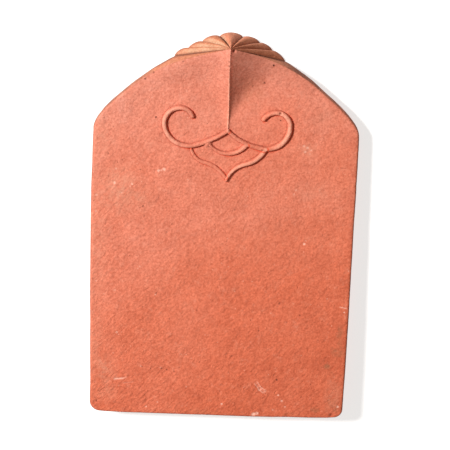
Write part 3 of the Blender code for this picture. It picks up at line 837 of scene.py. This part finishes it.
def build_under(skin, loop):
    loop = thin_loop(loop)
    bag = Sprinkle(2.0)
    ring = [bag.put(p[0], p[1]) for p in loop]
    holes = []
    for cx in (-NIB_X, NIB_X):
        # rings from the underside round and down the nib to its foot
        profile = [(-1.6, 0.0), (-0.8, 0.035), (-0.25, 0.11), (0.05, 0.22), (0.25, 0.45), (0.5, 0.7), (0.8, 0.84), (1.25, 0.93), (2.0, 0.985), (3.1, 1.0), (4.6, 1.0), (6.0, 1.0)]
        rows = []
        for off, share in profile:
            row = []
            for x, y in nib_loop(cx, off):
                foot = -(REST_Y - y) * math.tan(LEAN)
                row.append(skin.add((x, y, foot * share)))
            rows.append(row + row[:1])
        skin.grid(rows)
        last = rows[-1][:-1]
        skin.faces.append(tuple(last))
        hole = [bag.put(*skin.points[i][:2]) for i in rows[0][:-1]]
        holes.append(hole)
    for off in (0.0, 0.35, 0.7, 1.0, 1.5, 2.3, 3.4):
        for x in np.arange(-HOLLOW_SIDE, HOLLOW_SIDE + 0.1, 1.3):
            y = float(hollow_end(np.array([x]))[0]) - off
            if y > HOLLOW_START_Y + (abs(x) - HOLLOW_START_HALF) / HOLLOW_SPREAD:
                bag.put(float(x), y, 0.25)
    for sign in (-1, 1):
        for k in range(60):
            x = HOLLOW_START_HALF + (HOLLOW_SIDE - HOLLOW_START_HALF) * k / 59
            for off in (-0.5, 0.0, 0.5):
                bag.put(sign * (x + off), HOLLOW_START_Y + (x - HOLLOW_START_HALF) / HOLLOW_SPREAD, 0.3)
    for x in np.arange(-12, 12.1, 1.2):
        bag.put(float(x), HOLLOW_START_Y, 0.3)
        bag.put(float(x), HOLLOW_START_Y + 0.4, 0.3)
    for y in np.arange(HOLLOW_START_Y, 384, 1.2):
        bag.put(0.0, float(y), 0.4)
    rng = np.random.default_rng(17)
    inside = inside_fn(loop)
    hole_tests = [inside_fn([bag.points[i] for i in h]) for h in holes]
    for gap, box in ((1.7, (-44, 44, 330, 388)), (3.1, (-137, 137, 0, 412))):
        xs, ys = [], []
        for j in range(int((box[3] - box[2]) / (gap * 0.866)) + 1):
            x = np.arange(box[0] + (j % 2) * gap / 2, box[1], gap)
            xs.append(x)
            ys.append(np.full(len(x), box[2] + j * gap * 0.866))
        x, y = np.concatenate(xs), np.concatenate(ys)
        x += rng.uniform(-0.2, 0.2, len(x)) * gap
        y += rng.uniform(-0.2, 0.2, len(y)) * gap
        keep = inside(x, y)
        for t in hole_tests:
            keep &= ~t(x, y)
        for a, b in zip(x[keep], y[keep]):
            bag.put(float(a), float(b), gap * 0.6)
    pts = bag.points
    out = delaunay_2d_cdt([Vector(p) for p in pts], [], [list(range(len(ring)))] + [list(h) for h in holes], 1, 1e-6, True)
    verts, faces = out[0], out[2]
    x = np.array([v.x for v in verts])
    y = np.array([v.y for v in verts])
    z = under_height(x, y)
    for i, o in enumerate(out[3]):
        for k in o:
            if k < len(ring):
                x[i], y[i], z[i] = loop[k]
    add_patch(skin, x, y, z, faces, [inside], hole_tests)


def sewn(co, faces):
    """Faces with the ends of open edges that lie within 0.05 mm of each other made one."""
    edges = {}
    for f in faces:
        for a, b in zip(f, f[1:] + f[:1]):
            edges[(min(a, b), max(a, b))] = edges.get((min(a, b), max(a, b)), 0) + 1
    rim = sorted({v for e, n in edges.items() if n == 1 for v in e})
    stand_in = {}
    for i, a in enumerate(rim):
        for b in rim[:i]:
            if np.linalg.norm(co[a] - co[b]) < 0.05:
                stand_in[a] = stand_in.get(b, b)
                break
    kept = []
    for f in faces:
        g = []
        for v in f:
            v = stand_in.get(v, v)
            if not g or g[-1] != v:
                g.append(v)
        if len(g) > 1 and g[0] == g[-1]:
            g.pop()
        if len(g) > 2 and len(set(g)) == len(g):
            kept.append(g)
    return kept


def build_tile():
    skin = Skin()
    face_loop, under_loop = build_edges(skin)
    build_face(skin, face_loop)
    build_under(skin, under_loop)
    co = np.array(skin.points)

    # equal points made one
    key = np.round(co / 0.004 + 0.137).astype(np.int64)
    _, first, index = np.unique(key, axis=0, return_index=True, return_inverse=True)
    index = index.reshape(-1)
    co = co[first]
    end, grime, flank_highlight, shell_line, shade = (np.zeros(len(co)) for _ in range(5))
    for layer, values in ((end, skin.ends), (grime, skin.grime), (flank_highlight, skin.worn), (shell_line, skin.tooled), (shade, skin.shade)):
        for i, e in values.items():
            layer[index[i]] = max(layer[index[i]], e)
    faces = []
    for f in skin.faces:
        g = []
        for i in f:
            k = int(index[i])
            if not g or g[-1] != k:
                g.append(k)
        if len(g) > 1 and g[0] == g[-1]:
            g.pop()
        if len(set(g)) == len(g) and len(g) > 2:
            faces.append(g)

    faces = sewn(co, faces)

    x, y, z = co.T.copy()
    on_top = z > SLAB - 0.5
    depth, dark, pale = marks(x, y, on_top)
    worn, tooled, foot = bead_masks(x, y)
    grime = np.maximum(grime, np.where(on_top, foot, 0.0) * (1 - end))
    u = u_of(x, y)
    crest = np.exp(-((np.abs(u) / 0.9) ** 2)) * np.clip((y - 309.0) / 4.0, 0, 1) * np.clip((404.0 - y) / 40.0, 0.15, 1)
    worn = np.where(on_top, np.maximum(worn, 0.75 * crest), 0.0) * (1 - end)
    tooled = np.maximum(np.where(on_top, tooled, 0.0) * (1 - end), shell_line)
    # painted shadow: a dark line along the right side of the crest
    tooled = np.maximum(tooled, np.where(on_top, 0.4 * np.exp(-(((u - 1.9) / 1.2) ** 2)) * np.clip((y - 335.0) / 40.0, 0, 1), 0.0) * (1 - end))
    lift = unevenness(x, y, z)
    wave_x = 0.16 * fbm(x, y, z, 21.0, 1, 51.0)
    wave_y = 0.16 * fbm(x, y, z, 21.0, 1, 63.0)
    feet = z < -8.0
    co[:, 0] += wave_x
    co[:, 1] += wave_y
    co[:, 2] += np.where(feet, 0.0, np.where(z < 1.2, np.abs(lift) * 0.7, lift)) - np.where(on_top, depth, 0.0)

    mesh = bpy.data.meshes.new("terracotta_tile")
    mesh.from_pydata([tuple(p) for p in co], [], faces)
    mesh.update()
    import bmesh

    bm = bmesh.new()
    bm.from_mesh(mesh)
    bmesh.ops.recalc_face_normals(bm, faces=bm.faces[:])
    bm.to_mesh(mesh)
    bm.free()
    for name, values in (("dark_mark", np.where(on_top, dark, 0.0)), ("pale_mark", np.where(on_top, pale, 0.0)), ("end_mark", end), ("grime_mark", grime), ("worn_mark", worn), ("painted_shadow_and_tool_line_mark", tooled)):
        layer = mesh.attributes.new(name, "FLOAT", "POINT")
        layer.data.foreach_set("value", values.astype(np.float32))
    stain = np.zeros(len(x))
    for sx, sy, rx, ry, amount in STAINS:
        q = np.hypot((x - sx) / rx, (y - sy) / ry)
        stain = np.maximum(stain, amount * np.clip(1.7 * (1 - q), 0, 1))
    bloom = np.zeros(len(x))
    for sx, sy, rx, ry, amount in BLOOMS:
        q = np.hypot((x - sx) / rx, (y - sy) / ry)
        bloom = np.maximum(bloom, amount * np.clip(1 - q, 0, 1))
    deep = np.zeros(len(x))
    for sx, sy, rx, ry, amount in DEEPER:
        q = np.hypot((x - sx) / rx, (y - sy) / ry)
        deep = np.maximum(deep, amount * np.clip(1 - q, 0, 1) ** 0.8)
    for name, values in (("stain_mark", stain), ("bloom_mark", np.where(on_top, bloom, 0.0)), ("deep_mark", deep), ("flank_highlight_mark", flank_highlight), ("shade_mark", shade), ("calm_mark", np.clip((y - 318) / 20, 0, 1) * np.clip((u + 2) / 3, 0, 1) * np.clip((60 - u) / 25, 0, 1))):
        layer = mesh.attributes.new(name, "FLOAT", "POINT")
        layer.data.foreach_set("value", values.astype(np.float32))
    mesh.transform(LAY)
    mesh.update()
    tile = bpy.data.objects.new("terracotta_tile", mesh)
    bpy.context.scene.collection.objects.link(tile)
    for f in mesh.polygons:
        f.use_smooth = True
    mesh.set_sharp_from_angle(angle=math.radians(62))
    return tile


# ---------------------------------------------------------------- material
class Nodes:
    def __init__(self, mat):
        self.tree = mat.node_tree
        self.tree.nodes.clear()

    def new(self, kind, **values):
        n = self.tree.nodes.new(kind)
        for k, v in values.items():
            setattr(n, k, v)
        return n

    def link(self, a, b):
        self.tree.links.new(a, b)


def terracotta():
    mat = bpy.data.materials.new("fired_terracotta_look")
    mat.use_nodes = True
    t = Nodes(mat)
    out = t.new("ShaderNodeOutputMaterial")
    bsdf = t.new("ShaderNodeBsdfPrincipled")
    t.link(bsdf.outputs[0], out.inputs[0])
    bsdf.inputs["Roughness"].default_value = 0.9
    bsdf.inputs["Specular IOR Level"].default_value = 0.25
    coord = t.new("ShaderNodeTexCoord").outputs["Object"]

    def noise_tex(scale, detail=3.0, rough=0.55, at=None, distort=0.0):
        n = t.new("ShaderNodeTexNoise")
        n.inputs["Scale"].default_value = scale
        n.inputs["Detail"].default_value = detail
        n.inputs["Roughness"].default_value = rough
        n.inputs["Distortion"].default_value = distort
        t.link(at or coord, n.inputs["Vector"])
        return n.outputs["Fac"]

    def ramp(fac, stops):
        r = t.new("ShaderNodeValToRGB")
        e = r.color_ramp.elements
        e[0].position, e[0].color = stops[0]
        e[1].position, e[1].color = stops[-1]
        for pos, col in stops[1:-1]:
            m = e.new(pos)
            m.color = col
        t.link(fac, r.inputs[0])
        return r.outputs["Color"]

    def mix(fac, a, b, blend="MIX"):
        m = t.new("ShaderNodeMix", data_type="RGBA", blend_type=blend)
        if isinstance(fac, float):
            m.inputs[0].default_value = fac
        else:
            t.link(fac, m.inputs[0])
        for value, socket in ((a, m.inputs[6]), (b, m.inputs[7])):
            if isinstance(value, tuple):
                socket.default_value = value
            else:
                t.link(value, socket)
        return m.outputs[2]

    def math_(op, a, b=0.0, clamp=False):
        m = t.new("ShaderNodeMath", operation=op, use_clamp=clamp)
        for value, socket in ((a, m.inputs[0]), (b, m.inputs[1])):
            if isinstance(value, (int, float)):
                socket.default_value = value
            else:
                t.link(value, socket)
        return m.outputs[0]

    def attribute(name):
        return t.new("ShaderNodeAttribute", attribute_name=name).outputs["Fac"]

    def c(r, g, b):
        return (r, g, b, 1.0)

    sep = t.new("ShaderNodeSeparateXYZ")
    t.link(coord, sep.inputs[0])
    def turned(angle, sx, sy):
        m = t.new("ShaderNodeMapping", vector_type="TEXTURE")
        m.inputs["Rotation"].default_value = (0.0, 0.0, angle)
        m.inputs["Scale"].default_value = (1 / sx, 1 / sy, 1 / sy)
        t.link(coord, m.inputs["Vector"])
        return m.outputs[0]

    # firing tone, partly painted light falloff: paler and pinker at the upper left, towards the light, redder and
    # deeper at the lower right
    across = math_("MULTIPLY_ADD", sep.outputs[0], 0.9)
    across.node.inputs[2].default_value = 0.5
    along = math_("MULTIPLY_ADD", sep.outputs[1], -2.2)
    along.node.inputs[2].default_value = 0.0
    big = noise_tex(9.0, 3.0, 0.5)
    tone = math_("ADD", across, along)
    tone = math_("ADD", tone, math_("MULTIPLY", math_("SUBTRACT", big, 0.5), 0.8), clamp=True)
    base = ramp(tone, [(0.08, c(0.76, 0.281, 0.198)), (0.33, c(0.754, 0.236, 0.151)), (0.55, c(0.745, 0.208, 0.121)), (0.8, c(0.728, 0.180, 0.095)), (1.0, c(0.685, 0.16, 0.080))])
    base = mix(math_("MULTIPLY", attribute("end_mark"), 1.0), base, mix(1.0, base, c(0.95, 1.01, 0.86), "MULTIPLY"))
    base = mix(attribute("shade_mark"), base, mix(1.0, base, c(0.70, 0.62, 0.49), "MULTIPLY"))
    # painted highlight: the shell lobes' lit flanks are mixed towards pale cream
    flank_highlight = math_("MULTIPLY", attribute("flank_highlight_mark"), ramp(noise_tex(140.0, 4.0, 0.6), [(0.30, c(0.6, 0.6, 0.6)), (0.55, c(1, 1, 1))]))
    base = mix(flank_highlight, base, c(0.60, 0.355, 0.225))
    # blotches the size of a fingertip, then the clay's grain
    blotch = noise_tex(46.0, 4.0, 0.6)
    base = mix(ramp(blotch, [(0.36, c(0, 0, 0)), (0.66, c(1, 1, 1))]), base, mix(1.0, base, c(0.885, 0.845, 0.825), "MULTIPLY"))
    grain = noise_tex(430.0, 4.0, 0.7)
    base = mix(ramp(grain, [(0.36, c(1, 1, 1)), (0.60, c(0, 0, 0))]), base, mix(1.0, base, c(0.78, 0.68, 0.63), "MULTIPLY"))
    pink = noise_tex(88.0, 4.0, 0.6, distort=0.6)
    base = mix(ramp(pink, [(0.50, c(0, 0, 0)), (0.68, c(0.8, 0.8, 0.8))]), base, mix(1.0, base, c(1.04, 1.14, 1.20), "MULTIPLY"))
    brown = noise_tex(70.0, 5.0, 0.65, at=turned(0.9, 1.0, 1.6))
    base = mix(ramp(brown, [(0.54, c(0, 0, 0)), (0.74, c(1, 1, 1))]), base, mix(1.0, base, c(0.90, 0.90, 0.92), "MULTIPLY"))
    pale_bloom = noise_tex(150.0, 5.0, 0.7)
    base = mix(ramp(pale_bloom, [(0.56, c(0, 0, 0)), (0.82, c(0.4, 0.4, 0.4))]), base, c(0.84, 0.38, 0.27))
    # darker tone patches, one of them painted shade on the nose's left flank
    deeper = math_("MULTIPLY", attribute("deep_mark"), ramp(noise_tex(60.0, 4.0, 0.6), [(0.30, c(0.3, 0.3, 0.3)), (0.62, c(1, 1, 1))]))
    base = mix(deeper, base, mix(1.0, base, c(0.91, 0.84, 0.78), "MULTIPLY"))
    # short strokes left by wiping the wet face, slanting up to the right
    strokes = noise_tex(1.0, 3.0, 0.55, at=turned(math.radians(47), 150.0, 400.0), distort=0.15)
    wiped = math_("ADD", math_("MULTIPLY", sep.outputs[0], -3.2), math_("MULTIPLY", sep.outputs[1], -2.6))
    wiped = math_("ADD", wiped, math_("MULTIPLY", noise_tex(16.0, 2.0), 1.6))
    stroke_mask = math_("ADD", math_("MULTIPLY", wiped, 0.6), -0.12, clamp=True)
    base = mix(math_("MULTIPLY", ramp(strokes, [(0.40, c(1, 1, 1)), (0.52, c(0, 0, 0))]), stroke_mask), base, mix(1.0, base, c(0.90, 0.85, 0.83), "MULTIPLY"))
    # grog and pores
    cells = t.new("ShaderNodeTexVoronoi", feature="F1")
    cells.inputs["Scale"].default_value = 210.0
    t.link(coord, cells.inputs["Vector"])
    pore = ramp(cells.outputs["Distance"], [(0.0, c(1, 1, 1)), (0.17, c(0, 0, 0))])
    pick = t.new("ShaderNodeSeparateColor")
    t.link(cells.outputs["Color"], pick.inputs[0])
    rare = math_("GREATER_THAN", pick.outputs[0], 0.945)
    pore_mask = math_("MULTIPLY", pore, rare)
    base = mix(math_("MULTIPLY", pore_mask, 0.45), base, c(0.30, 0.085, 0.045))
    cells2 = t.new("ShaderNodeTexVoronoi", feature="F1")
    cells2.inputs["Scale"].default_value = 260.0
    t.link(coord, cells2.inputs["Vector"])
    pick2 = t.new("ShaderNodeSeparateColor")
    t.link(cells2.outputs["Color"], pick2.inputs[0])
    grog = math_("MULTIPLY", ramp(cells2.outputs["Distance"], [(0.0, c(1, 1, 1)), (0.2, c(0, 0, 0))]), math_("GREATER_THAN", pick2.outputs[1], 0.955))
    base = mix(math_("MULTIPLY", grog, 0.5), base, c(0.92, 0.60, 0.47))
    # marks carried by the mesh
    fleck = noise_tex(900.0, 2.0, 0.6)
    base = mix(math_("MULTIPLY", attribute("pale_mark"), math_("MULTIPLY", fleck, 1.5), clamp=True), base, c(0.90, 0.52, 0.41))
    dusty = math_("MULTIPLY", attribute("bloom_mark"), ramp(noise_tex(190.0, 5.0, 0.75), [(0.40, c(0.15, 0.15, 0.15)), (0.62, c(1, 1, 1))]))
    base = mix(math_("MULTIPLY", dusty, 0.75), base, c(0.66, 0.33, 0.225))
    # painted shade in the shell's grooves, under its lobes and along the edges away from the light, with darker edges
    # and bead feet, mixed towards dark brown
    base = mix(math_("MULTIPLY", attribute("grime_mark"), 0.72), base, c(0.15, 0.052, 0.033))
    rub = math_("MULTIPLY", attribute("worn_mark"), ramp(noise_tex(260.0, 3.0, 0.6), [(0.30, c(0.45, 0.45, 0.45)), (0.60, c(1, 1, 1))]))
    base = mix(math_("MULTIPLY", rub, 0.6), base, c(0.88, 0.47, 0.34))
    # painted shadow along the beads' lee sides and the crest, mixed towards deep red-brown
    base = mix(math_("MULTIPLY", attribute("painted_shadow_and_tool_line_mark"), 0.78), base, c(0.60, 0.060, 0.018))
    base = mix(attribute("dark_mark"), base, c(0.16, 0.042, 0.025))
    base = mix(math_("MULTIPLY", attribute("stain_mark"), ramp(noise_tex(120.0, 4.0, 0.7), [(0.35, c(0, 0, 0)), (0.6, c(1, 1, 1))])), base, c(0.36, 0.13, 0.065))
    t.link(base, bsdf.inputs["Base Color"])
    rough = ramp(noise_tex(180.0, 3.0), [(0.3, c(0.82, 0.82, 0.82)), (0.7, c(0.96, 0.96, 0.96))])
    t.link(rough, bsdf.inputs["Roughness"])
    # grain as bump
    fine = noise_tex(620.0, 3.0, 0.6)
    mid = noise_tex(230.0, 3.0, 0.55)
    height = math_("ADD", math_("MULTIPLY", fine, 0.35), math_("MULTIPLY", mid, 0.75))
    height = math_("SUBTRACT", height, math_("MULTIPLY", pore_mask, 0.9))
    height = math_("ADD", height, math_("MULTIPLY", strokes, math_("ADD", math_("MULTIPLY", stroke_mask, 1.15), 0.15)))
    coarse = noise_tex(115.0, 3.0, 0.55, distort=0.4)
    height = math_("ADD", height, math_("MULTIPLY", coarse, 0.8))
    bump = t.new("ShaderNodeBump")
    bump.inputs["Strength"].default_value = 0.9
    bump.inputs["Distance"].default_value = 0.0010
    height = math_("MULTIPLY", height, math_("SUBTRACT", 1.0, math_("MULTIPLY", attribute("calm_mark"), 0.55)))
    t.link(height, bump.inputs["Height"])
    t.link(bump.outputs[0], bsdf.inputs["Normal"])
    return mat


tile = build_tile()
tile.data.materials.append(terracotta())
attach(tile, "root")
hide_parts("roof_tile")

# ---------------------------------------------------------------- floor, light, camera
floor_mesh = bpy.data.meshes.new("floor")
floor_mesh.from_pydata([(-6, -6, 0), (6, -6, 0), (6, 6, 0), (-6, 6, 0)], [], [(0, 1, 2, 3)])
floor = bpy.data.objects.new("floor", floor_mesh)
bpy.context.scene.collection.objects.link(floor)
paper = bpy.data.materials.new("pale_floor")
paper.use_nodes = True
shader = paper.node_tree.nodes["Principled BSDF"]
shader.inputs["Base Color"].default_value = (0.5, 0.5, 0.5, 1)
shader.inputs["Roughness"].default_value = 0.95
shader.inputs["Specular IOR Level"].default_value = 0.1
shader.inputs["Emission Color"].default_value = (1, 1, 1, 1)
shader.inputs["Emission Strength"].default_value = 0.66
floor_mesh.materials.append(paper)

world = bpy.data.worlds.new("studio")
bpy.context.scene.world = world
world.use_nodes = True
world.node_tree.nodes["Background"].inputs[0].default_value = (1.0, 0.86, 0.72, 1)
world.node_tree.nodes["Background"].inputs[1].default_value = 0.24


def area(name, place, aim, size, power, colour=(1, 1, 1)):
    lamp = bpy.data.lights.new(name, "AREA")
    lamp.shape = "DISK"
    lamp.size = size
    lamp.energy = power
    lamp.color = colour
    o = bpy.data.objects.new(name, lamp)
    o.location = place
    o.rotation_euler = (Vector(aim) - Vector(place)).to_track_quat("-Z", "Y").to_euler()
    bpy.context.scene.collection.objects.link(o)
    return o


area("key", (-1.86, 1.00, 1.92), (0, 0.02, 0), 0.44, 115.0, (1.0, 0.99, 0.97))
area("fill", (0.9, -0.8, 2.3), (0, 0, 0), 2.2, 5.0)

CAM_POS = Vector((6.41, 672.39, 1546.09))
CAM_RIGHT = Vector((0.99933823, 0.0339804, -0.01297824))
CAM_UP = Vector((-0.03627893, 0.95695537, -0.28795877))
CAM_FOCUS = 1546.28 / 450.0 * 36.0
cam = bpy.data.cameras.new("camera")
cam.sensor_width = 36.0
cam.lens = CAM_FOCUS
cam.clip_end = 20.0
camera = bpy.data.objects.new("camera", cam)
back = CAM_RIGHT.cross(CAM_UP)
pose = Matrix((
    (CAM_RIGHT.x, CAM_UP.x, back.x, CAM_POS.x),
    (CAM_RIGHT.y, CAM_UP.y, back.y, CAM_POS.y),
    (CAM_RIGHT.z, CAM_UP.z, back.z, CAM_POS.z),
    (0, 0, 0, 1),
))
placed = LAY @ pose
camera.matrix_world = Matrix.Translation(placed.translation) @ placed.to_quaternion().to_matrix().to_4x4()
bpy.context.scene.collection.objects.link(camera)
bpy.context.scene.camera = camera
view = bpy.context.scene.view_settings
view.view_transform = "Standard"
view.look = "None"
